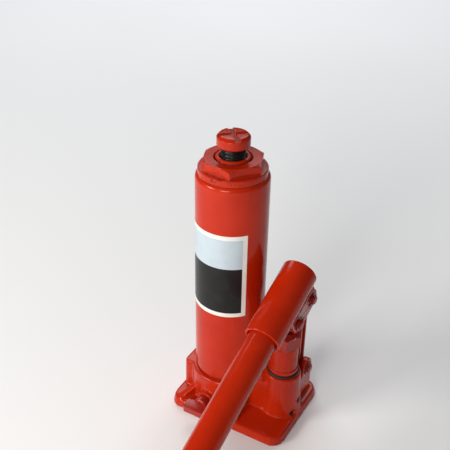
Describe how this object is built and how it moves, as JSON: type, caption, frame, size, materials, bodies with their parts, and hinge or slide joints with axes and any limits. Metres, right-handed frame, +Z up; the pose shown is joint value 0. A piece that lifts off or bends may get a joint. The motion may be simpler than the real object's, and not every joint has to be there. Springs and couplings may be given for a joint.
{
  "type": "hydraulic bottle jack with hand pump",
  "caption": "Hydraulic bottle jack with a built-in hand pump: a lever with a slanted handle strokes a side plunger, and a ram with an extension screw lifts the load.",
  "frame": {"origin": "on the axis of the ram, at the underside of the base", "axes": "+Z up along the ram, +X from the ram to the pump, -Y to the end of the handle"},
  "size_m": [0.112, 0.2997, 0.2617],
  "materials": {
    "red_paint": "gloss",
    "bright_steel": "ground",
    "zinc_plate": "zinc plated",
    "black_oxide_steel": "black oxide",
    "black_rubber": "matte",
    "seal_polyurethane": "satin",
    "copper": "plain"
  },
  "bodies": {
    "base": {"base_casting": "red_paint", "base_gasket": "black_rubber", "reservoir_tube": "red_paint", "filler_plug": "black_rubber", "pressure_cylinder": "bright_steel", "cylinder_foot_washer": "copper", "top_nut": "red_paint", "top_nut_seal": "black_rubber", "ram_wiper": "seal_polyurethane", "pump_seal_ring": "black_rubber", "pump_cylinder": "red_paint", "pump_gland_nut": "zinc_plate", "plunger_packing": "seal_polyurethane", "suction_ball": "bright_steel", "suction_screen": "zinc_plate", "suction_plug": "black_oxide_steel", "delivery_ball": "bright_steel", "delivery_spring": "bright_steel", "delivery_retainer": "bright_steel", "delivery_plug": "black_oxide_steel", "relief_ball": "bright_steel", "relief_spring": "bright_steel", "relief_screw": "black_oxide_steel", "release_ball": "bright_steel", "link_foot_pin": "zinc_plate", "link_foot_pin_clip": "black_oxide_steel"},
    "ram": {"ram": "bright_steel", "piston": "bright_steel", "piston_cup_seal": "seal_polyurethane", "piston_washer": "bright_steel", "piston_snap_ring": "bright_steel"},
    "screw_carrier": {"screw_stop_ring": "bright_steel"},
    "screw": {"extension_screw": "red_paint"},
    "link": {"fulcrum_link": "red_paint"},
    "lever": {"handle_socket": "red_paint", "socket_cheek_left": "red_paint", "socket_cheek_right": "red_paint", "plunger_pin": "zinc_plate", "plunger_pin_clip": "black_oxide_steel", "fulcrum_pin": "zinc_plate", "fulcrum_pin_clip": "black_oxide_steel"},
    "handle": {"handle_tube": "red_paint"},
    "plunger": {"plunger": "bright_steel", "plunger_seal": "black_rubber"},
    "valve_carrier": {"release_valve_seal": "black_rubber"},
    "release_valve": {"release_valve_screw": "black_oxide_steel"}
  },
  "joints": [
    {"name": "ram_lift", "type": "slide", "parent": "base", "child": "ram", "axis": [0, 0, 1], "range_m": [0, 0.15]},
    {"name": "screw_lift", "type": "slide", "parent": "ram", "child": "screw_carrier", "axis": [0, 0, 1], "range_m": [-0.0077, 0.0542]},
    {"name": "screw_turn", "type": "hinge", "parent": "screw_carrier", "child": "screw", "pos_m": [0, 0, 0.2], "axis": [0, 0, 1], "range_deg": [-900, 6480]},
    {"name": "link_sway", "type": "hinge", "parent": "base", "child": "link", "pos_m": [0.0545, 0.02419, 0.038], "axis": [1, 0, 0], "range_deg": [0, 0.712]},
    {"name": "lever_swing", "type": "hinge", "parent": "link", "child": "lever", "pos_m": [0.0545, 0.02419, 0.11439], "axis": [-1, 0, 0], "range_deg": [0, 48]},
    {"name": "handle_pull", "type": "slide", "parent": "lever", "child": "handle", "axis": [0, -0.9304, -0.3665], "range_m": [0, 0.055]},
    {"name": "plunger_stroke", "type": "slide", "parent": "base", "child": "plunger", "axis": [0, 0, 1], "range_m": [0, 0.02094]},
    {"name": "valve_out", "type": "slide", "parent": "base", "child": "valve_carrier", "axis": [0, -1, 0], "range_m": [0, 0.00135]},
    {"name": "valve_turn", "type": "hinge", "parent": "valve_carrier", "child": "release_valve", "pos_m": [-0.003, -0.04, 0.015], "axis": [0, -1, 0], "range_deg": [0, 360]}
  ],
  "couplings": [
    {"joint": "screw_lift", "follows": "screw_turn", "m_per_rad": 0.00047746},
    {"joint": "link_sway", "follows": "lever_swing", "ratio": 0.014417},
    {"joint": "plunger_stroke", "follows": "lever_swing", "m_per_rad": 0.024879},
    {"joint": "valve_out", "follows": "valve_turn", "m_per_rad": 0.00019894}
  ]
}
